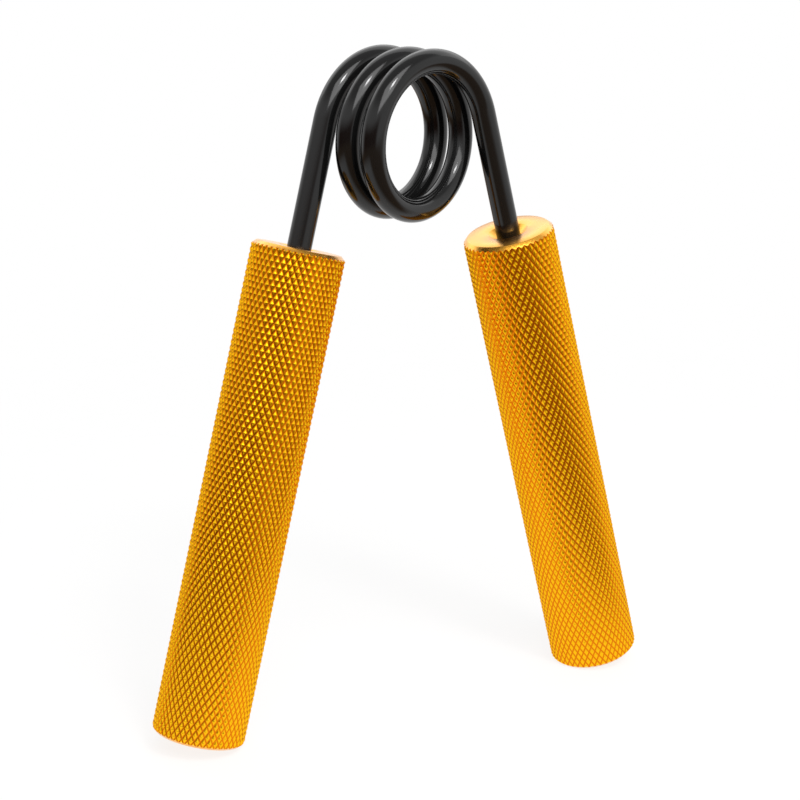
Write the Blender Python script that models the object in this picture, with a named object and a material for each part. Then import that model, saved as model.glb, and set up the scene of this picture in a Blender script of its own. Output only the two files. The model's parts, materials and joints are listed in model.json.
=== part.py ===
"""Hand gripper: one torsion spring with a knurled grip bar pressed on each leg.

Frame: X from the left grip to the right grip, Y from front to back along the
coil's axis, Z up. The coil is on top. The lowest rim of both grips lies on
Z = 0, and the Z axis runs midway between the grips through the coil's centre.
"""

import math

import bmesh
import bpy
import numpy as np
from mathutils import Matrix, Vector

MM = 0.001

# Spring wire and coil
WIRE_DIAMETER = 6.5 * MM
COIL_MEAN_DIAMETER = 39.0 * MM
COIL_PITCH = 8.8 * MM
FULL_TURNS = 2

# Spring legs, which run straight off the coil
LEG_LEAN = math.radians(14.75)
LEG_SPLAY = math.radians(3.0)
LEG_FREE_LENGTH = 34.0 * MM
LEG_SEAT_LENGTH = 60.0 * MM

# Grip bars
GRIP_DIAMETER = 25.0 * MM
GRIP_LENGTH = 132.5 * MM
TOP_CHAMFER = 1.2 * MM
END_CHAMFER = 1.0 * MM
MOUTH_DIAMETER = 11.0 * MM
MOUTH_ANGLE = math.radians(90.0)
DRILL_POINT_ANGLE = math.radians(118.0)

# Clearance that stands for the press fit of a leg in its bore
SEAT_CLEARANCE = 0.3 * MM

# Smoothness of the round shapes
POINTS_PER_TURN = 36
WIRE_BEVEL_STEPS = 8
GRIP_SIDES = 72
SHARP_EDGE_ANGLE = math.radians(30.0)
MERGE_DISTANCE = 0.001 * MM

GOLD = (0.83, 0.37, 0.02, 1.0)
BLACK = (0.012, 0.012, 0.013, 1.0)

# Angle that the wire winds through, from one leg's tangent point to the other's
WIND_ANGLE = 2.0 * math.pi * FULL_TURNS + math.pi - 2.0 * LEG_LEAN
COIL_RADIUS = COIL_MEAN_DIAMETER / 2.0
COIL_HALF_LENGTH = COIL_PITCH * WIND_ANGLE / (2.0 * math.pi) / 2.0
LEG_REACH = LEG_FREE_LENGTH + GRIP_LENGTH
BORE_RADIUS = WIRE_DIAMETER / 2.0 + SEAT_CLEARANCE
BORE_DEPTH = LEG_SEAT_LENGTH + SEAT_CLEARANCE


def leg_direction():
    """Unit vector down the right leg, away from the coil."""
    return Vector((
        math.sin(LEG_LEAN) * math.cos(LEG_SPLAY),
        -math.sin(LEG_SPLAY),
        -math.cos(LEG_LEAN) * math.cos(LEG_SPLAY),
    ))


def coil_height():
    """Height of the coil's axis with the rims of both grips' lower ends on Z = 0."""
    down = leg_direction()
    tangent_height = COIL_RADIUS * math.sin(LEG_LEAN)
    end_face_drop = -down.z * LEG_REACH
    rim_drop = (GRIP_DIAMETER / 2.0 - END_CHAMFER) * math.sqrt(1.0 - down.z ** 2)
    return end_face_drop + rim_drop - tangent_height


COIL_HEIGHT = coil_height()


def coil_point(angle):
    """Point on the wire's centre line, at an angle counted from the right side."""
    share = (angle - LEG_LEAN) / WIND_ANGLE
    return Vector((
        COIL_RADIUS * math.cos(angle),
        COIL_HALF_LENGTH * (2.0 * share - 1.0),
        COIL_HEIGHT + COIL_RADIUS * math.sin(angle),
    ))


def right_leg_point(distance):
    """Point on the right leg, at a distance from where it leaves the coil."""
    return coil_point(LEG_LEAN) + leg_direction() * distance


def half_turn(point):
    """The same place on the other side: half a turn about the Z axis."""
    return Vector((-point.x, -point.y, point.z))


def wire_route():
    """Centre line of the whole spring, from the right leg's end to the left leg's."""
    steps = round(POINTS_PER_TURN * WIND_ANGLE / (2.0 * math.pi))
    coil = [coil_point(LEG_LEAN + WIND_ANGLE * i / steps) for i in range(steps + 1)]
    leg_end = right_leg_point(LEG_FREE_LENGTH + LEG_SEAT_LENGTH)
    return [leg_end] + coil + [half_turn(leg_end)]


def least_gap(route, spacing=1.0 * MM):
    """Least clear distance between stretches of wire that aren't neighbours."""
    corners = np.array(route)
    lengths = np.linalg.norm(np.diff(corners, axis=0), axis=1)
    along = np.concatenate(([0.0], np.cumsum(lengths)))
    samples = np.arange(0.0, along[-1], spacing)
    points = np.stack([np.interp(samples, along, corners[:, i]) for i in range(3)], axis=1)
    distance = np.linalg.norm(points[:, None] - points[None, :], axis=2)
    apart = np.abs(samples[:, None] - samples[None, :]) > math.pi * COIL_RADIUS
    return float(distance[apart].min()) - WIRE_DIAMETER


def make_material(name, colour, metallic, roughness):
    """Plain Principled material."""
    material = bpy.data.materials.new(name)
    material.use_nodes = True
    shader = material.node_tree.nodes["Principled BSDF"]
    shader.inputs["Base Color"].default_value = colour
    shader.inputs["Metallic"].default_value = metallic
    shader.inputs["Roughness"].default_value = roughness
    material.diffuse_color = colour
    return material


def make_torsion_spring(material):
    """One unbroken round wire: leg, coil, leg."""
    route = wire_route()
    gap = least_gap(route)
    print(f"torsion_spring: least gap to itself {gap / MM:.2f} mm")
    curve = bpy.data.curves.new("torsion_spring", "CURVE")
    curve.dimensions = "3D"
    curve.bevel_depth = WIRE_DIAMETER / 2.0
    curve.bevel_resolution = WIRE_BEVEL_STEPS
    curve.use_fill_caps = True
    spline = curve.splines.new("POLY")
    spline.points.add(len(route) - 1)
    for point, place in zip(spline.points, route):
        point.co = (*place, 1.0)
    spline.use_smooth = True
    curve.materials.append(material)
    spring = bpy.data.objects.new("torsion_spring", curve)
    bpy.context.collection.objects.link(spring)
    return spring


def grip_profile():
    """Half section of a grip: radius and height, with the top face at height 0."""
    radius = GRIP_DIAMETER / 2.0
    mouth_radius = MOUTH_DIAMETER / 2.0
    mouth_depth = (mouth_radius - BORE_RADIUS) / math.tan(MOUTH_ANGLE / 2.0)
    drill_point = BORE_RADIUS / math.tan(DRILL_POINT_ANGLE / 2.0)
    return [
        (0.0, -GRIP_LENGTH),
        (radius - END_CHAMFER, -GRIP_LENGTH),
        (radius, -GRIP_LENGTH + END_CHAMFER),
        (radius, -TOP_CHAMFER),
        (radius - TOP_CHAMFER, 0.0),
        (mouth_radius, 0.0),
        (BORE_RADIUS, -mouth_depth),
        (BORE_RADIUS, -BORE_DEPTH),
        (0.0, -BORE_DEPTH - drill_point),
    ]


def grip_mesh(material):
    """Solid bar turned from its half section, with a blind bore for the leg."""
    shape = bmesh.new()
    corners = [shape.verts.new((radius, 0.0, height)) for radius, height in grip_profile()]
    edges = [shape.edges.new(pair) for pair in zip(corners, corners[1:])]
    bmesh.ops.spin(
        shape,
        geom=corners + edges,
        axis=(0.0, 0.0, 1.0),
        cent=(0.0, 0.0, 0.0),
        steps=GRIP_SIDES,
        angle=2.0 * math.pi,
    )
    bmesh.ops.remove_doubles(shape, verts=shape.verts, dist=MERGE_DISTANCE)
    bmesh.ops.recalc_face_normals(shape, faces=shape.faces)
    mesh = bpy.data.meshes.new("grip")
    shape.to_mesh(mesh)
    shape.free()
    mesh.shade_smooth()
    mesh.set_sharp_from_angle(angle=SHARP_EDGE_ANGLE)
    mesh.materials.append(material)
    return mesh


def right_grip_placement():
    """Placement of a grip on the right leg: +Z up the leg, +X in the leg's vertical plane."""
    up = -leg_direction()
    across = Vector((0.0, 0.0, 1.0)).cross(up).normalized()
    outward = across.cross(up)
    turn = Matrix((outward, across, up)).transposed().to_4x4()
    return Matrix.Translation(right_leg_point(LEG_FREE_LENGTH)) @ turn


def make_pivot():
    """Empty on the coil's axis, about which the right grip closes."""
    pivot = bpy.data.objects.new("squeeze_pivot", None)
    pivot.location = (0.0, 0.0, COIL_HEIGHT)
    bpy.context.collection.objects.link(pivot)
    return pivot


def make_grips(material, pivot):
    """Two equal grips, half a turn apart about the Z axis."""
    mesh = grip_mesh(material)
    right_placement = right_grip_placement()
    left_placement = Matrix.Rotation(math.pi, 4, "Z") @ right_placement
    left_grip = bpy.data.objects.new("left_handle", mesh)
    left_grip.matrix_world = left_placement
    bpy.context.collection.objects.link(left_grip)
    right_grip = bpy.data.objects.new("right_handle", mesh)
    bpy.context.collection.objects.link(right_grip)
    right_grip.parent = pivot
    right_grip.matrix_local = Matrix.Translation(-pivot.location) @ right_placement


def main():
    """Clear the scene's objects and build the gripper."""
    for item in list(bpy.data.objects):
        bpy.data.objects.remove(item, do_unlink=True)
    gold = make_material("gold_anodised_aluminium", GOLD, 1.0, 0.35)
    black = make_material("black_coated_steel", BLACK, 0.0, 0.3)
    make_torsion_spring(black)
    make_grips(gold, make_pivot())
    print(f"coil axis height {COIL_HEIGHT / MM:.3f} mm, coil half length {COIL_HALF_LENGTH / MM:.3f} mm")


main()
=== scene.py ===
import json
import math

import bmesh
import bpy
import numpy as np
from mathutils import Matrix, Vector


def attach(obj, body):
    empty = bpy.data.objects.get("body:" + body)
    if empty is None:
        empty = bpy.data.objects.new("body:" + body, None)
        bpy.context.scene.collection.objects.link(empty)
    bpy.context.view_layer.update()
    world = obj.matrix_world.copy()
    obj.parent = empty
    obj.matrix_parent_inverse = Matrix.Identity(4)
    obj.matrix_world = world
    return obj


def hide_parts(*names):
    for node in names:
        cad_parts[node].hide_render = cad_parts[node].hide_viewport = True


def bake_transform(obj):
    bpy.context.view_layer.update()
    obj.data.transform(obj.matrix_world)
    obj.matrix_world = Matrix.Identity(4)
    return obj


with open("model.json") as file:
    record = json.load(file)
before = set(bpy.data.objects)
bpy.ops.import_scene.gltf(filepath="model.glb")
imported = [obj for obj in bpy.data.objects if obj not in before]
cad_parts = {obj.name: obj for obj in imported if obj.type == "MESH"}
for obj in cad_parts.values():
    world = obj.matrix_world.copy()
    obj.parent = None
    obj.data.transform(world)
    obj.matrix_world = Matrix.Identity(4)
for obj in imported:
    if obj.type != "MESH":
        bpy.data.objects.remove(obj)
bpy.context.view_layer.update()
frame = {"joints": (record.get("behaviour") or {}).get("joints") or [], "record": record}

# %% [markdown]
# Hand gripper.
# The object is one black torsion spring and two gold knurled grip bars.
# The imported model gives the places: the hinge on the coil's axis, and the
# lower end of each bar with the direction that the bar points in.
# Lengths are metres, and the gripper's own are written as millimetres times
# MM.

MM = 0.001
hinge = Vector(frame["joints"][0]["pos_m"])
mounts = {mount["name"]: mount for mount in frame["record"]["mounts"]}
right_end = Vector(mounts["right_grip_end"]["pos_m"])
leg_direction = Vector(mounts["right_grip_end"]["axis"]).normalized()
print("coil axis at", tuple(hinge), "right bar ends at", tuple(right_end))

# %% [markdown]
# The camera stands in front and to the left of the gripper, a little above
# it. Its place is written as turns and as distances from the coil's centre,
# which is how a photographer would note it down. The focal length makes the
# object as large in the square picture as it is in the photograph.

# %% Camera
VIEW_TURN = math.radians(47.7592)
VIEW_DROP = math.radians(14.6430)
VIEW_ROLL = math.radians(-0.0918)
COIL_RIGHT_OF_AIM = 1.44687 * MM
COIL_ABOVE_AIM = 69.62712 * MM
COIL_DISTANCE = 549.53262 * MM
FOCAL_LENGTH = 94.394
SENSOR_WIDTH = 36.0


def camera_placement():
    """Camera matrix: looks along the turned and dropped view, from a distance.

    With turn t and drop e, forward is (sin t cos e, cos t cos e, -sin e),
    right is (cos t, -sin t, 0) and up is right x forward, all rolled about
    forward.
    """
    forward = Vector((
        math.sin(VIEW_TURN) * math.cos(VIEW_DROP),
        math.cos(VIEW_TURN) * math.cos(VIEW_DROP),
        -math.sin(VIEW_DROP),
    ))
    level_right = Vector((math.cos(VIEW_TURN), -math.sin(VIEW_TURN), 0.0))
    level_up = level_right.cross(forward)
    right = math.cos(VIEW_ROLL) * level_right + math.sin(VIEW_ROLL) * level_up
    up = math.cos(VIEW_ROLL) * level_up - math.sin(VIEW_ROLL) * level_right
    place = hinge - COIL_RIGHT_OF_AIM * right - COIL_ABOVE_AIM * up - COIL_DISTANCE * forward
    turn = Matrix((right, up, -forward)).transposed().to_4x4()
    return Matrix.Translation(place) @ turn


camera = bpy.data.objects.new("camera", bpy.data.cameras.new("camera"))
camera.data.lens = FOCAL_LENGTH
camera.data.sensor_width = SENSOR_WIDTH
camera.data.dof.use_dof = False
camera.matrix_world = camera_placement()
bpy.context.collection.objects.link(camera)
bpy.context.scene.camera = camera
print("camera at", [round(value, 4) for value in camera.matrix_world.translation])

# %% [markdown]
# Every piece below ends as arrays of points and faces. This helper puts them
# into a mesh, so that each piece's own cell holds only its shape.

# %% From arrays to a mesh object
def add_piece(name, points, faces, materials):
    """Mesh object from an (n, 3) array of points and a list of faces."""
    mesh = bpy.data.meshes.new(name)
    mesh.from_pydata(points.tolist(), [], faces)
    for material in materials:
        mesh.materials.append(material)
    mesh.validate()
    mesh.shade_smooth()
    piece = bpy.data.objects.new(name, mesh)
    bpy.context.collection.objects.link(piece)
    return piece


def quads_of_grid(rows, columns, closed):
    """Quads of a grid of points, row by row, closed along its columns or open."""
    across = columns if closed else columns - 1
    row, column = np.meshgrid(np.arange(rows - 1), np.arange(across), indexing="ij")
    beside = (column + 1) % columns
    near = row * columns
    far = near + columns
    return np.stack((near + column, near + beside, far + beside, far + column), -1).reshape(-1, 4)


# %% [markdown]
# Handling leaves faint marks on any coated metal. One node group makes them
# for both finishes, as a mask between 0 and 1, from stretched noise in
# object coordinates. Each material gives it a scale and decides what to do
# with the mask.

# %% Node helpers
def link_nodes(tree, source, output, target, socket):
    """Link one named output to one named input."""
    tree.links.new(source.outputs[output], target.inputs[socket])


def new_material(name):
    """Material with its node tree, and its Principled shader."""
    material = bpy.data.materials.new(name)
    material.use_nodes = True
    return material, material.node_tree, material.node_tree.nodes["Principled BSDF"]


def add_node(tree, kind, **settings):
    """Node of one kind, with its settings."""
    node = tree.nodes.new(kind)
    for key, value in settings.items():
        setattr(node, key, value)
    return node


def set_inputs(node, **values):
    """Set input sockets by name, with spaces written as underscores."""
    for key, value in values.items():
        node.inputs[key.replace("_", " ")].default_value = value


# %% Marks group
MARKS_STRETCH = (1.0, 3.0, 0.6)
SMUDGE_DETAIL = 3.0
SMUDGE_ROUGHNESS = 0.55
SCUFF_DETAIL = 6.0
SCUFF_ROUGHNESS = 0.7
SCUFFS_FINER = 9.0
SCUFF_SHARE = 0.4


def make_marks_group():
    """Group: handling marks as a mask, from large smudges and short scuffs."""
    group = bpy.data.node_groups.new("handling_marks", "ShaderNodeTree")
    group.interface.new_socket("Scale", in_out="INPUT", socket_type="NodeSocketFloat")
    group.interface.new_socket("Mask", in_out="OUTPUT", socket_type="NodeSocketFloat")
    inlet = add_node(group, "NodeGroupInput")
    outlet = add_node(group, "NodeGroupOutput")
    place = add_node(group, "ShaderNodeTexCoord")
    stretch = add_node(group, "ShaderNodeMapping")
    stretch.inputs["Scale"].default_value = MARKS_STRETCH
    smudges = add_node(group, "ShaderNodeTexNoise")
    set_inputs(smudges, Detail=SMUDGE_DETAIL, Roughness=SMUDGE_ROUGHNESS)
    scuffs = add_node(group, "ShaderNodeTexNoise")
    set_inputs(scuffs, Detail=SCUFF_DETAIL, Roughness=SCUFF_ROUGHNESS)
    finer = add_node(group, "ShaderNodeMath", operation="MULTIPLY")
    finer.inputs[1].default_value = SCUFFS_FINER
    both = add_node(group, "ShaderNodeMix", data_type="FLOAT")
    both.inputs["Factor"].default_value = SCUFF_SHARE
    link_nodes(group, place, "Object", stretch, "Vector")
    link_nodes(group, stretch, "Vector", smudges, "Vector")
    link_nodes(group, stretch, "Vector", scuffs, "Vector")
    link_nodes(group, inlet, "Scale", smudges, "Scale")
    group.links.new(inlet.outputs["Scale"], finer.inputs[0])
    group.links.new(finer.outputs[0], scuffs.inputs["Scale"])
    group.links.new(smudges.outputs["Fac"], both.inputs["A"])
    group.links.new(scuffs.outputs["Fac"], both.inputs["B"])
    group.links.new(both.outputs["Result"], outlet.inputs["Mask"])
    return group


marks_group = make_marks_group()
print("marks group:", len(marks_group.nodes), "nodes")

# %% [markdown]
# The spring is hardened steel wire with a smooth black coating. It is nearly
# black head on and turns grey where the eye grazes it, so it is a plain
# dielectric shader with a low roughness. The coating is not quite flat: a
# faint waviness breaks up the edges of its highlights.

# %% Black coating
BLACK = (0.006, 0.006, 0.006, 1.0)
COATING_IOR = 1.42
COATING_ROUGHNESS = (0.09, 0.16)
COATING_MARKS_SCALE = 60.0
MARKS_RANGE = (0.35, 0.65)
WAVINESS_SCALE = 900.0
WAVINESS_DETAIL = 2.0
WAVINESS_STRENGTH = 0.12
WAVINESS_HEIGHT = 0.02 * MM


def marks_between(tree, scale, ends):
    """Node: the marks mask at a scale, mapped from its own range to the two ends."""
    marks = add_node(tree, "ShaderNodeGroup", node_tree=marks_group)
    set_inputs(marks, Scale=scale)
    spread = add_node(tree, "ShaderNodeMapRange")
    set_inputs(spread, From_Min=MARKS_RANGE[0], From_Max=MARKS_RANGE[1])
    set_inputs(spread, To_Min=ends[0], To_Max=ends[1])
    link_nodes(tree, marks, "Mask", spread, "Value")
    return spread


def make_black_coating():
    """Black coated steel: roughness from the marks, bump from fine noise."""
    material, tree, shader = new_material("black_coating")
    set_inputs(shader, Base_Color=BLACK, IOR=COATING_IOR)
    roughness = marks_between(tree, COATING_MARKS_SCALE, COATING_ROUGHNESS)
    link_nodes(tree, roughness, "Result", shader, "Roughness")
    place = add_node(tree, "ShaderNodeTexCoord")
    waviness = add_node(tree, "ShaderNodeTexNoise")
    set_inputs(waviness, Scale=WAVINESS_SCALE, Detail=WAVINESS_DETAIL)
    bump = add_node(tree, "ShaderNodeBump")
    set_inputs(bump, Strength=WAVINESS_STRENGTH, Distance=WAVINESS_HEIGHT)
    link_nodes(tree, place, "Object", waviness, "Vector")
    link_nodes(tree, waviness, "Fac", bump, "Height")
    link_nodes(tree, bump, "Normal", shader, "Normal")
    return material


black_coating = make_black_coating()
print("black coating:", len(black_coating.node_tree.nodes), "nodes")

# %% [markdown]
# The spring is one wire. Its centre line runs up the right leg, through the
# coil and down the left leg. A tube is carried along that line: at each of
# its points, a circle is set square to the line. The circle's first axis
# points away from the coil's axis, so the tube never twists.

# %% Spring centre line
WIRE_RADIUS = 3.25 * MM
COIL_RADIUS = 19.5 * MM
COIL_PITCH = 8.8 * MM
FULL_TURNS = 2
LEG_FREE_LENGTH = 34.0 * MM
LEG_SEAT_LENGTH = 60.0 * MM
RINGS_PER_TURN = 120
RINGS_PER_LEG = 24
WIRE_SIDES = 64

leg_lean = math.atan2(leg_direction.x, -leg_direction.z)
wind_angle = 2.0 * math.pi * FULL_TURNS + math.pi - 2.0 * leg_lean
coil_half_length = COIL_PITCH * wind_angle / (4.0 * math.pi)


def coil_line(angles):
    """Coil: (R cos a, half (2 s - 1), R sin a) about the hinge, s the share wound."""
    share = (angles - leg_lean) / wind_angle
    return np.stack((
        COIL_RADIUS * np.cos(angles),
        coil_half_length * (2.0 * share - 1.0),
        COIL_RADIUS * np.sin(angles) + hinge.z,
    ), -1)


def leg_line(distances, side):
    """Straight leg: the coil's end plus distance times the leg's direction."""
    turn_about_z = np.array((side, side, 1.0))
    start = coil_line(np.array([leg_lean]))[0]
    return (start + distances[:, None] * np.array(leg_direction)) * turn_about_z


def wire_line():
    """Centre line from the right leg's lower end to the left leg's."""
    reach = LEG_FREE_LENGTH + LEG_SEAT_LENGTH
    down = np.linspace(0.0, reach, RINGS_PER_LEG + 1)[1:]
    turns = round(RINGS_PER_TURN * wind_angle / (2.0 * math.pi))
    angles = leg_lean + np.linspace(0.0, wind_angle, turns + 1)
    return np.concatenate((leg_line(down[::-1], 1.0), coil_line(angles), leg_line(down, -1.0)))


# %% Spring tube
def tube(line, radius, sides):
    """Tube: line + radius (cos c N + sin c B), with N away from the coil's axis.

    T is the line's direction, N is the part of the radial direction square to
    T, and B = T x N. Both ends are closed with one face.
    """
    along = np.gradient(line, axis=0)
    along /= np.linalg.norm(along, axis=1, keepdims=True)
    radial = line - np.array(hinge)
    radial[:, 1] = 0.0
    radial -= np.sum(radial * along, axis=1, keepdims=True) * along
    radial /= np.linalg.norm(radial, axis=1, keepdims=True)
    beside = np.cross(along, radial)
    turn = np.linspace(0.0, 2.0 * math.pi, sides, endpoint=False)
    circle = np.cos(turn)[:, None] * radial[:, None] + np.sin(turn)[:, None] * beside[:, None]
    points = (line[:, None] + radius * circle).reshape(-1, 3)
    quads = quads_of_grid(len(line), sides, closed=True).tolist()
    first_cap = list(range(sides))[::-1]
    last_cap = list(range(len(points) - sides, len(points)))
    return points, quads + [first_cap, last_cap]


spring_points, spring_faces = tube(wire_line(), WIRE_RADIUS, WIRE_SIDES)
spring = add_piece("wound_spring", spring_points, spring_faces, [black_coating])
print("spring:", len(spring_points), "points")

# %% [markdown]
# The gold is anodised aluminium: bright metal under a clear dyed oxide layer.
# The metal gives the saturated orange reflection, and the layer's own surface
# adds a white one at flat angles, so the shader is a metal with a coat over
# it. The coat's index of refraction is the oxide's. On the knurl a small share
# of the light is scattered in the dye, so it isn't all metal. Its grooves are
# painted a deeper, darker orange: painted shade that stands in for light
# mirrored more than once there. A metal turns white at flat angles, which
# would give the diamonds pale outlines, so the knurl's specular tint keeps
# them orange. The turned ends are a redder and rougher gold under more coat,
# with the fine rings of the lathe tool.

# %% Gold finishes
GRIP_RADIUS = 12.5 * MM
KNURL_DEPTH = 0.45 * MM
GOLD = (1.0, 0.54, 0.005, 1.0)
# Painted shade in the knurl's grooves: a darker orange towards the groove floors, for light mirrored
# more than once there.
GROOVE_SHADE_GOLD = (0.74, 0.15, 0.001, 1.0)
GROOVE_SHADE_SHARE = 0.5
TURNED_GOLD = (1.0, 0.45, 0.01, 1.0)
KNURL_EDGE_TINT = (1.0, 0.50, 0.04, 1.0)
KNURL_METAL = 0.95
KNURL_COAT = 0.05
KNURL_COAT_ROUGHNESS = 0.25
KNURL_ROUGHNESS = (0.18, 0.27)
TURNED_METAL = 1.0
TURNED_COAT = 0.8
TURNED_COAT_ROUGHNESS = 0.28
TURNED_ROUGHNESS = (0.26, 0.33)
GOLD_MARKS_SCALE = 45.0
OXIDE_IOR = 1.65
LATHE_FEED = 0.16 * MM
LATHE_RING_STRENGTH = 0.25
LATHE_RING_HEIGHT = 0.004 * MM


def new_gold(name, colour, metallic, coat_weight, coat_roughness):
    """Gold metal under its clear oxide layer."""
    material, tree, shader = new_material(name)
    set_inputs(shader, Base_Color=colour, Metallic=metallic)
    set_inputs(shader, Coat_Weight=coat_weight, Coat_IOR=OXIDE_IOR, Coat_Roughness=coat_roughness)
    return material, tree, shader


def make_knurled_gold():
    """Gold on the knurl: satin, with the marks in its roughness.

    Painted shade: the colour deepens to a darker orange from the crowns to the groove floors, by
    radius, for light mirrored more than once in the grooves.
    """
    material, tree, shader = new_gold(
        "gold_knurled", GOLD, KNURL_METAL, KNURL_COAT, KNURL_COAT_ROUGHNESS
    )
    set_inputs(shader, Specular_Tint=KNURL_EDGE_TINT)
    roughness = marks_between(tree, GOLD_MARKS_SCALE, KNURL_ROUGHNESS)
    radius = add_node(tree, "ShaderNodeAttribute", attribute_name="turned_radius")
    # Painted shade: the darker groove gold from the groove floors up to a share of the knurl's
    # depth.
    height = add_node(tree, "ShaderNodeMapRange")
    floor_radius = GRIP_RADIUS - KNURL_DEPTH
    set_inputs(height, From_Min=floor_radius, From_Max=floor_radius + GROOVE_SHADE_SHARE * KNURL_DEPTH)
    colour = add_node(tree, "ShaderNodeMix", data_type="RGBA")
    colour.inputs["A"].default_value = GROOVE_SHADE_GOLD
    colour.inputs["B"].default_value = GOLD
    link_nodes(tree, roughness, "Result", shader, "Roughness")
    link_nodes(tree, radius, "Fac", height, "Value")
    tree.links.new(height.outputs["Result"], colour.inputs["Factor"])
    tree.links.new(colour.outputs["Result"], shader.inputs["Base Color"])
    return material


def make_turned_gold():
    """Gold on the turned ends: fine rings at the lathe's feed, by radius."""
    material, tree, shader = new_gold(
        "gold_turned", TURNED_GOLD, TURNED_METAL, TURNED_COAT, TURNED_COAT_ROUGHNESS
    )
    roughness = marks_between(tree, GOLD_MARKS_SCALE, TURNED_ROUGHNESS)
    link_nodes(tree, roughness, "Result", shader, "Roughness")
    radius = add_node(tree, "ShaderNodeAttribute", attribute_name="turned_radius")
    turns = add_node(tree, "ShaderNodeMath", operation="MULTIPLY")
    turns.inputs[1].default_value = 2.0 * math.pi / LATHE_FEED
    rings = add_node(tree, "ShaderNodeMath", operation="SINE")
    bump = add_node(tree, "ShaderNodeBump")
    set_inputs(bump, Strength=LATHE_RING_STRENGTH, Distance=LATHE_RING_HEIGHT)
    tree.links.new(radius.outputs["Fac"], turns.inputs[0])
    tree.links.new(turns.outputs[0], rings.inputs[0])
    tree.links.new(rings.outputs[0], bump.inputs["Height"])
    link_nodes(tree, bump, "Normal", shader, "Normal")
    return material


gold_knurled = make_knurled_gold()
gold_turned = make_turned_gold()
for gold in (gold_knurled, gold_turned):
    print(gold.name + ":", len(gold.node_tree.nodes), "nodes")

# %% [markdown]
# A diamond knurl is two families of grooves that wind round the bar in
# opposite directions. Number the grooves of each family: a place on the bar
# then has two groove coordinates, a and b, and each diamond lies between two
# whole numbers in both. All diamonds are alike, so one tile is written down
# in these coordinates: its crown, its flanks, and the groove floors on two of
# its sides. Copies of the tile fill the unrolled bar.

# %% Knurl sizes
GRIP_LENGTH = 132.5 * MM
TOP_CHAMFER = 1.2 * MM
END_CHAMFER = 1.0 * MM
KNURL_HELIX = math.radians(28.97)
FLOOR_HALF_SHARE = 0.03
CROWN_HALF_SHARE = 0.12
CROWN_CORNER_SHARE = 0.06
CROWN_RISE = 0.045 * MM
DOME_HALF_SHARE = 0.06
DOME_CORNER_SHARE = 0.03
DOME_RISE = 0.012 * MM
SPARE_ROWS = 3
MERGE_DISTANCE = 0.001 * MM
CUT_TOLERANCE = 0.003 * MM
LEFT_KNURL = {"starts": 46, "shift_a": 0.25, "shift_b": 0.95}
RIGHT_KNURL = {"starts": 45, "shift_a": 0.64, "shift_b": 0.88}


def knurl_lead(starts):
    """Length of one diamond along the bar: girth / (starts tan helix)."""
    return 2.0 * math.pi * GRIP_RADIUS / (starts * math.tan(KNURL_HELIX))


for knurl in (LEFT_KNURL, RIGHT_KNURL):
    print("knurl: one diamond every", round(knurl_lead(knurl["starts"]) / MM, 3), "mm along the bar")


# %% One knurl tile
def crown_ring(half_share, corner_share):
    """Eight corners round the tile's middle: a square with its corners cut off."""
    low, high = 0.5 - half_share, 0.5 + half_share
    low_cut, high_cut = low + corner_share, high - corner_share
    return [
        (low_cut, low), (high_cut, low), (high, low_cut), (high, high_cut),
        (high_cut, high), (low_cut, high), (low, high_cut), (low, low_cut),
    ]


def knurl_tile():
    """Corners (a, b, height) and faces of one diamond in groove coordinates.

    Corners 0 to 3 are the foot of the diamond, 4 to 11 the rim of its crown,
    12 to 19 a smaller rim higher up, 20 the tip, and 21 to 25 the next
    diamonds' feet.
    """
    foot, far_foot = FLOOR_HALF_SHARE, 1.0 - FLOOR_HALF_SHARE
    next_foot = 1.0 + FLOOR_HALF_SHARE
    plan = np.array(
        [(foot, foot), (far_foot, foot), (far_foot, far_foot), (foot, far_foot)]
        + crown_ring(CROWN_HALF_SHARE, CROWN_CORNER_SHARE)
        + crown_ring(DOME_HALF_SHARE, DOME_CORNER_SHARE)
        + [(0.5, 0.5), (next_foot, foot), (next_foot, far_foot)]
        + [(foot, next_foot), (far_foot, next_foot), (next_foot, next_foot)]
    )
    height = np.full(len(plan), -KNURL_DEPTH)
    height[4:12] = -CROWN_RISE
    height[12:20] = -DOME_RISE
    height[20] = 0.0
    flanks = [(0, 1, 5, 4), (1, 2, 7, 6), (2, 3, 9, 8), (3, 0, 11, 10)]
    corners = [(0, 4, 11), (1, 6, 5), (2, 8, 7), (3, 10, 9)]
    crown = [(4 + i, 4 + (i + 1) % 8, 12 + (i + 1) % 8, 12 + i) for i in range(8)]
    dome = [(12 + i, 12 + (i + 1) % 8, 20) for i in range(8)]
    floors = [(1, 21, 22, 2), (3, 2, 24, 23), (2, 22, 25, 24)]
    return plan, height, flanks + corners + crown + dome + floors


print("knurl tile:", len(knurl_tile()[2]), "faces")


# %% Unrolled knurl
def unrolled_knurl(starts, shift_a, shift_b):
    """All tiles of a bar, laid flat as (along the girth, along the bar, height).

    A tile's first groove numbers A and B have A - B from 0 to twice the number
    of starts, once round the bar. The girth place is R pi (a - b) / starts and
    the place along the bar is lead (a + b) / 2, with the top face at 0. The
    shifts are where the two knurling wheels touched the bar first. The spare
    rows reach past both ends, and the cuts take them off.
    """
    plan, height, tile_faces = knurl_tile()
    lead = knurl_lead(starts)
    difference = np.arange(2 * starts)[None, :]
    rows = np.arange(-math.ceil(GRIP_LENGTH / lead) - SPARE_ROWS, SPARE_ROWS)[:, None]
    total = 2 * rows + difference % 2
    a = ((total + difference) // 2)[..., None] + plan[:, 0] + shift_a
    b = ((total - difference) // 2)[..., None] + plan[:, 1] + shift_b
    girth = GRIP_RADIUS * math.pi * (a - b) / starts
    along = lead * (a + b) / 2.0
    points = np.stack((girth, along, np.broadcast_to(height, a.shape)), -1).reshape(-1, 3)
    shifts = np.arange(len(points) // len(plan)) * len(plan)
    faces = [face for tile in tile_faces for face in (shifts[:, None] + np.array(tile)).tolist()]
    return points, faces


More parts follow.
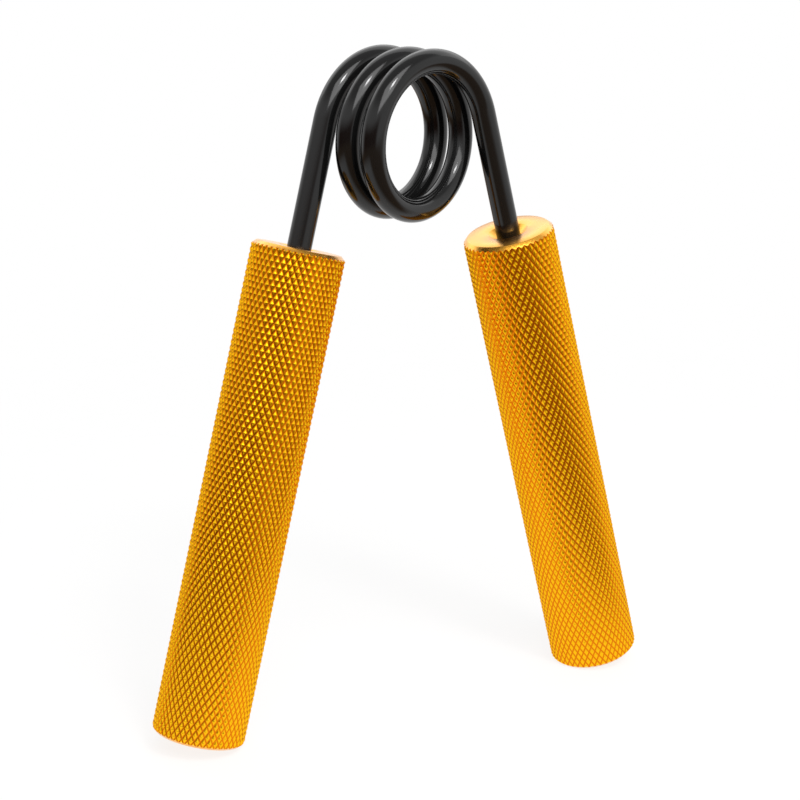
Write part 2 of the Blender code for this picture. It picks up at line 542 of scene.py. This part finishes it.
def cut_flat(shape, place, normal):
    """Cut the unrolled knurl with a plane and drop what lies beyond it."""
    bmesh.ops.bisect_plane(
        shape,
        geom=shape.verts[:] + shape.edges[:] + shape.faces[:],
        dist=CUT_TOLERANCE,
        plane_co=place,
        plane_no=normal,
        clear_outer=True,
    )


# %% [markdown]
# On the unrolled bar, a 45 degree chamfer is a flat plane, because radius and
# length trade one for one on it. So the knurl is cut by two planes while it
# lies flat, and is then rolled up. The grooves scallop the chamfers' edges, as
# they do on the real bar.

# %% Roll the knurl up
def rolled(points):
    """Roll up: girth g, place p, height h -> ((R + h) cos t, (R + h) sin t, p), t = g / R."""
    turn = points[:, 0] / GRIP_RADIUS
    reach = GRIP_RADIUS + points[:, 2]
    return np.stack((reach * np.cos(turn), reach * np.sin(turn), points[:, 1]), -1)


def mesh_points(mesh):
    """The mesh's points as an (n, 3) array."""
    points = np.empty(len(mesh.vertices) * 3)
    mesh.vertices.foreach_get("co", points)
    return points.reshape(-1, 3)


def make_knurl_mesh(knurl):
    """Knurl cut at both chamfers, still flat."""
    points, faces = unrolled_knurl(**knurl)
    mesh = bpy.data.meshes.new("knurl")
    mesh.from_pydata(points.tolist(), [], faces)
    shape = bmesh.new()
    shape.from_mesh(mesh)
    bmesh.ops.remove_doubles(shape, verts=shape.verts, dist=MERGE_DISTANCE)
    cut_flat(shape, (0.0, -TOP_CHAMFER, 0.0), (0.0, 1.0, 1.0))
    cut_flat(shape, (0.0, END_CHAMFER - GRIP_LENGTH, 0.0), (0.0, -1.0, 1.0))
    shape.to_mesh(mesh)
    shape.free()
    return mesh


# %% [markdown]
# Both ends of a bar are turned on a lathe: a flat face with its chamfer and,
# at the top, a countersunk mouth over the bore. Each is a half section swept
# round the bar's axis. The sweep starts from the knurl's own cut rim, so the
# knurl and both ends close into one mesh.

# %% Turned ends
MOUTH_RADIUS = 5.5 * MM
BORE_RADIUS = 3.55 * MM
BORE_DEPTH = 60.3 * MM
DRILL_POINT_DEPTH = 0.6 * BORE_RADIUS
EDGE_BREAK = 0.08 * MM
TOP_PROFILE = [
    (GRIP_RADIUS - TOP_CHAMFER + EDGE_BREAK, -EDGE_BREAK),
    (GRIP_RADIUS - TOP_CHAMFER - EDGE_BREAK, 0.0),
    (MOUTH_RADIUS + EDGE_BREAK, 0.0),
    (MOUTH_RADIUS - EDGE_BREAK, -EDGE_BREAK),
    (BORE_RADIUS, BORE_RADIUS - MOUTH_RADIUS),
    (BORE_RADIUS, -BORE_DEPTH),
    (0.0, -BORE_DEPTH - DRILL_POINT_DEPTH),
]
END_PROFILE = [
    (GRIP_RADIUS - END_CHAMFER + EDGE_BREAK, EDGE_BREAK - GRIP_LENGTH),
    (GRIP_RADIUS - END_CHAMFER - EDGE_BREAK, -GRIP_LENGTH),
    (0.0, -GRIP_LENGTH),
]


def rim_points(points, gap):
    """Points of the flat knurl on one cut, in order round the bar, each once."""
    rim = points[np.abs(gap) < CUT_TOLERANCE]
    turn = rim[:, 0] % (2.0 * math.pi * GRIP_RADIUS)
    order = np.argsort(turn)
    rim, turn = rim[order], turn[order]
    steps = np.diff(turn, append=turn[0] + 2.0 * math.pi * GRIP_RADIUS)
    return rim[steps > MERGE_DISTANCE]


def turned_end(rim, profile, upward):
    """Surface from the knurl's rim along a turned profile to the bar's axis.

    Row 0 is the rolled rim. Row k is profile point k turned to the rim's angles.
    """
    turn = rim[:, 0] / GRIP_RADIUS
    circle = np.stack((np.cos(turn), np.sin(turn), np.zeros(len(turn))), -1)
    rows = [rolled(rim)]
    rows += [radius * circle + (0.0, 0.0, height) for radius, height in profile]
    quads = quads_of_grid(len(rows), len(turn), closed=True)
    return np.concatenate(rows), (quads if upward else quads[:, ::-1]).tolist()


# %% Whole bar
SHARP_EDGE_ANGLE = math.radians(40.0)


def make_grip_mesh(knurl):
    """Knurl and both turned ends, joined into one closed mesh along Z."""
    mesh = make_knurl_mesh(knurl)
    flat = mesh_points(mesh)
    top_rim = rim_points(flat, flat[:, 1] + flat[:, 2] + TOP_CHAMFER)
    end_rim = rim_points(flat, flat[:, 1] - flat[:, 2] + GRIP_LENGTH - END_CHAMFER)
    mesh.vertices.foreach_set("co", rolled(flat).ravel())
    shape = bmesh.new()
    shape.from_mesh(mesh)
    for rim, profile, upward in ((top_rim, TOP_PROFILE, True), (end_rim, END_PROFILE, False)):
        points, quads = turned_end(rim, profile, upward)
        end = bpy.data.meshes.new("turned_end")
        end.from_pydata(points.tolist(), [], quads)
        end.polygons.foreach_set("material_index", np.ones(len(end.polygons), np.int32))
        shape.from_mesh(end)
        bpy.data.meshes.remove(end)
    bmesh.ops.remove_doubles(shape, verts=shape.verts, dist=MERGE_DISTANCE)
    open_edges = sum(1 for edge in shape.edges if not edge.is_manifold)
    shape.to_mesh(mesh)
    print("grip:", len(shape.faces), "faces,", open_edges, "open edges")
    print("grip: volume", round(shape.calc_volume() / MM ** 3), "cubic mm")
    shape.free()
    return mesh


def grip_placement(side):
    """Right bar (side 1), or left bar (side -1) half a turn about Z: +Z up the bar."""
    up = -leg_direction
    across = Vector((0.0, 0.0, 1.0)).cross(up).normalized()
    outward = across.cross(up)
    turn = Matrix((outward, across, up)).transposed().to_4x4()
    right = Matrix.Translation(right_end + GRIP_LENGTH * up) @ turn
    return right if side > 0 else Matrix.Rotation(math.pi, 4, "Z") @ right


def add_grip(name, side, knurl):
    """One bar in its place, with its turned radius kept as an attribute."""
    mesh = make_grip_mesh(knurl)
    local = mesh_points(mesh)
    mesh.transform(grip_placement(side))
    mesh.materials.append(gold_knurled)
    mesh.materials.append(gold_turned)
    radius = mesh.attributes.new("turned_radius", "FLOAT", "POINT")
    radius.data.foreach_set("value", np.hypot(local[:, 0], local[:, 1]).astype(np.float32))
    mesh.shade_smooth()
    mesh.set_sharp_from_angle(angle=SHARP_EDGE_ANGLE)
    grip = bpy.data.objects.new(name, mesh)
    bpy.context.collection.objects.link(grip)
    return grip


left_grip = add_grip("left_knurled_grip", -1, LEFT_KNURL)
right_grip = add_grip("right_knurled_grip", 1, RIGHT_KNURL)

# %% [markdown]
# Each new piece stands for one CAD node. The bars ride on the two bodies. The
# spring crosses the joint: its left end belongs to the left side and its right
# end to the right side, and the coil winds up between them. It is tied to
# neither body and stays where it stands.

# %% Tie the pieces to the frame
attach(left_grip, "left_side")
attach(right_grip, "right_side")
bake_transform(spring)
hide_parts("left_handle")
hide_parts("right_handle")
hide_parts("torsion_spring")
print("pieces in place:", ", ".join(piece.name for piece in (left_grip, right_grip, spring)))

# %% [markdown]
# The stage is that of a product picture: a white table in a white room, with
# a dark cloth hung left of the camera. Bright metal shows what stands round
# it. In the metal's mirror the table ends just in front of the gripper, and a
# brown carpet begins there. So the right bar, which stands back and leans
# forward, mirrors the table, and the left bar mirrors the cloth, with the
# carpet in the lower faces of its knurl. The table is a disc that fades into
# the white room, so the camera sees no horizon, and it still takes the
# gripper's shadow.

# %% Table
WHITE = (1.0, 1.0, 1.0, 1.0)
TABLE_RADIUS = 0.45
TABLE_FADE = 0.20
TABLE_ALBEDO = 0.16
TABLE_GLOW = 0.84
TABLE_FRONT = (0.035, 0.130)
TABLE_COMPASS = math.radians(266.0)
TABLE_RINGS = 4
TABLE_SIDES = 96


def table_points():
    """Flat disc: (r cos t, r sin t, 0) on a grid of radii r and angles t."""
    radius = np.linspace(0.0, TABLE_RADIUS, TABLE_RINGS + 1)[1:]
    turn = np.linspace(0.0, 2.0 * math.pi, TABLE_SIDES, endpoint=False)
    plan = np.stack((np.cos(turn), np.sin(turn), np.zeros(TABLE_SIDES)), -1)
    return (radius[:, None, None] * plan).reshape(-1, 3)


def smooth_step(tree, node, output, ends):
    """Node: 0 at the first end and 1 at the second, smooth between."""
    step = add_node(tree, "ShaderNodeMapRange", interpolation_type="SMOOTHSTEP")
    rising = float(ends[0] < ends[1])
    set_inputs(step, From_Min=min(ends), From_Max=max(ends), To_Min=1.0 - rising, To_Max=rising)
    link_nodes(tree, node, output, step, "Value")
    return step


def combine(tree, operation, first, second):
    """Math node on two results."""
    result = add_node(tree, "ShaderNodeMath", operation=operation)
    tree.links.new(first, result.inputs[0])
    tree.links.new(second, result.inputs[1])
    return result


def mirror_ray(tree, path):
    """Node: 1 for a ray that metal or glass sends on."""
    mirrored = path.outputs["Is Glossy Ray"]
    refracted = path.outputs["Is Transmission Ray"]
    return combine(tree, "MAXIMUM", mirrored, refracted)


def make_table():
    """White table top. Its cover falls to 0 by radius, and past its front edge in mirrors.

    Cover = fade(r) (1 - mirrored beyond(p . c)), with c the way to the table's front.
    """
    material, tree, shader = new_material("table_white")
    grey = (TABLE_ALBEDO, TABLE_ALBEDO, TABLE_ALBEDO, 1.0)
    set_inputs(shader, Base_Color=grey, Roughness=1.0, Specular_IOR_Level=0.0)
    set_inputs(shader, Emission_Color=WHITE)
    path = add_node(tree, "ShaderNodeLightPath")
    mirrored = mirror_ray(tree, path)
    seen = combine(tree, "MAXIMUM", path.outputs["Is Camera Ray"], mirrored.outputs[0])
    glow = add_node(tree, "ShaderNodeMath", operation="MULTIPLY")
    glow.inputs[1].default_value = TABLE_GLOW
    place = add_node(tree, "ShaderNodeTexCoord")
    reach = add_node(tree, "ShaderNodeVectorMath", operation="LENGTH")
    fade = smooth_step(tree, reach, "Value", (TABLE_RADIUS, TABLE_FADE))
    toward = add_node(tree, "ShaderNodeVectorMath", operation="DOT_PRODUCT")
    toward.inputs[1].default_value = (math.cos(TABLE_COMPASS), math.sin(TABLE_COMPASS), 0.0)
    beyond = smooth_step(tree, toward, "Value", TABLE_FRONT)
    hidden = combine(tree, "MULTIPLY", mirrored.outputs[0], beyond.outputs["Result"])
    kept = add_node(tree, "ShaderNodeMath", operation="SUBTRACT")
    kept.inputs[0].default_value = 1.0
    cover = combine(tree, "MULTIPLY", fade.outputs["Result"], kept.outputs[0])
    tree.links.new(seen.outputs[0], glow.inputs[0])
    tree.links.new(glow.outputs[0], shader.inputs["Emission Strength"])
    tree.links.new(place.outputs["Object"], reach.inputs[0])
    tree.links.new(place.outputs["Object"], toward.inputs[0])
    tree.links.new(hidden.outputs[0], kept.inputs[1])
    tree.links.new(cover.outputs[0], shader.inputs["Alpha"])
    middle = list(range(TABLE_SIDES))
    quads = quads_of_grid(TABLE_RINGS, TABLE_SIDES, closed=True)[:, ::-1].tolist()
    table = add_piece("table", table_points(), [middle] + quads, [material])
    print("table:", len(table.data.polygons), "faces")


make_table()

# %% [markdown]
# The room is drawn by direction. The camera sees it white all round. Metal
# sees the same white, except for three things with soft edges: the dark cloth
# left of the camera, the grey ceiling, and the brown carpet, which lies below
# the horizon on all sides but the one across from the cloth. As a light the
# room is even and plain, so these take nothing from the light that falls on
# the gripper.

# %% Room
ROOM_AS_LIGHT = (0.30, 0.30, 0.30, 1.0)
CLOTH_COLOUR = (0.11, 0.034, 0.014, 1.0)
CARPET_COLOUR = (0.27, 0.17, 0.10, 1.0)
CEILING_COLOUR = (0.45, 0.45, 0.45, 1.0)
CEILING_EDGE = (0.45, 0.75)
CLOTH_COMPASS = math.radians(187.0)
CLOTH_SIDE = (0.32, 0.71)
CLOTH_HEAD = (0.34, 0.00)
CARPET_SIDE = (-0.80, -0.60)
CARPET_EDGE = (-0.15, -0.31)


def direction_parts(tree):
    """Nodes: d . c and z of a direction d.

    d . c is the share of the direction's level part that points at the cloth's
    middle.
    """
    direction = add_node(tree, "ShaderNodeTexCoord")
    level = add_node(tree, "ShaderNodeVectorMath", operation="MULTIPLY")
    level.inputs[1].default_value = (1.0, 1.0, 0.0)
    unit = add_node(tree, "ShaderNodeVectorMath", operation="NORMALIZE")
    toward = add_node(tree, "ShaderNodeVectorMath", operation="DOT_PRODUCT")
    toward.inputs[1].default_value = (math.cos(CLOTH_COMPASS), math.sin(CLOTH_COMPASS), 0.0)
    split = add_node(tree, "ShaderNodeSeparateXYZ")
    tree.links.new(direction.outputs["Generated"], level.inputs[0])
    tree.links.new(level.outputs["Vector"], unit.inputs[0])
    tree.links.new(unit.outputs["Vector"], toward.inputs[0])
    link_nodes(tree, direction, "Generated", split, "Vector")
    return toward, split


def mixed(tree, factor, first, second):
    """Colour node: the first colour at factor 0, the second at factor 1."""
    mix = add_node(tree, "ShaderNodeMix", data_type="RGBA")
    tree.links.new(factor, mix.inputs["Factor"])
    for socket, colour in (("A", first), ("B", second)):
        if isinstance(colour, tuple):
            mix.inputs[socket].default_value = colour
        else:
            tree.links.new(colour, mix.inputs[socket])
    return mix.outputs["Result"]


def make_room():
    """World colour: white to the camera, grey as a light, the drawn room in mirrors.

    In mirrors the ceiling is laid over white by height, then the cloth over
    both, then the carpet over all three.
    """
    world = bpy.data.worlds.new("room")
    world.use_nodes = True
    bpy.context.scene.world = world
    tree = world.node_tree
    background = tree.nodes["Background"]
    path = add_node(tree, "ShaderNodeLightPath")
    toward, split = direction_parts(tree)
    side = smooth_step(tree, toward, "Value", CLOTH_SIDE)
    head = smooth_step(tree, split, "Z", CLOTH_HEAD)
    cloth = combine(tree, "MULTIPLY", side.outputs["Result"], head.outputs["Result"])
    near = smooth_step(tree, toward, "Value", CARPET_SIDE)
    under = smooth_step(tree, split, "Z", CARPET_EDGE)
    carpet = combine(tree, "MULTIPLY", near.outputs["Result"], under.outputs["Result"])
    ceiling = smooth_step(tree, split, "Z", CEILING_EDGE)
    shell = mixed(tree, ceiling.outputs["Result"], WHITE, CEILING_COLOUR)
    hung = mixed(tree, cloth.outputs[0], shell, CLOTH_COLOUR)
    in_mirror = mixed(tree, carpet.outputs[0], hung, CARPET_COLOUR)
    lit = mixed(tree, mirror_ray(tree, path).outputs[0], ROOM_AS_LIGHT, in_mirror)
    seen = mixed(tree, path.outputs["Is Camera Ray"], lit, WHITE)
    tree.links.new(seen, background.inputs["Color"])
    print("room:", len(tree.nodes), "nodes")


make_room()

# %% [markdown]
# Three soft boxes light the gripper. The front one hangs above the camera, a
# little to its right, and lights the upper faces of the knurl. Its core is
# small and bright, like the bulb behind the cloth of a real soft box, and
# gives the narrow highlights along the wire. The back one is wide and much
# weaker and hangs above the backdrop, where the turned faces mirror it. A lamp
# is placed by the compass turn and the height at which the gripper sees it,
# and its size is the angle that it fills.

# %% Lamps
STAGE_MIDDLE = Vector((0.0, 0.0, 0.09))
LAMP_DISTANCE = 1.5
PANELS = {
    "panel_front": {"compass": 242.0, "height": 46.0, "wide": 50.0, "tall": 40.0, "radiance": 3.9},
    "panel_core": {"compass": 249.0, "height": 48.0, "wide": 9.0, "tall": 9.0, "radiance": 32.0},
    "panel_back": {"compass": 40.0, "height": 48.0, "wide": 110.0, "tall": 40.0, "radiance": 0.9},
}


def add_panel(name, compass, height, wide, tall, radiance):
    """Soft box: angles in degrees as seen from the gripper, and its brightness.

    A panel of area A that shines with radiance L gives pi A L watts.
    """
    compass, height = math.radians(compass), math.radians(height)
    toward = Vector((
        math.cos(height) * math.cos(compass),
        math.cos(height) * math.sin(compass),
        math.sin(height),
    ))
    lamp = bpy.data.lights.new(name, "AREA")
    lamp.shape = "RECTANGLE"
    lamp.size = 2.0 * LAMP_DISTANCE * math.tan(math.radians(wide) / 2.0)
    lamp.size_y = 2.0 * LAMP_DISTANCE * math.tan(math.radians(tall) / 2.0)
    lamp.energy = math.pi * lamp.size * lamp.size_y * radiance
    panel = bpy.data.objects.new(name, lamp)
    panel.location = STAGE_MIDDLE + LAMP_DISTANCE * toward
    panel.rotation_euler = (-toward).to_track_quat("-Z", "Y").to_euler()
    panel.visible_camera = False
    bpy.context.collection.objects.link(panel)
    print(name, "gives", round(lamp.energy, 1), "watts")


for panel_name, panel_values in PANELS.items():
    add_panel(panel_name, **panel_values)

# %% [markdown]
# The Standard view shows each colour as it is written, where a filmic one
# would grey the gold and the white room.

# %% Colour handling
bpy.context.scene.view_settings.view_transform = "Standard"
print("view transform:", bpy.context.scene.view_settings.view_transform)
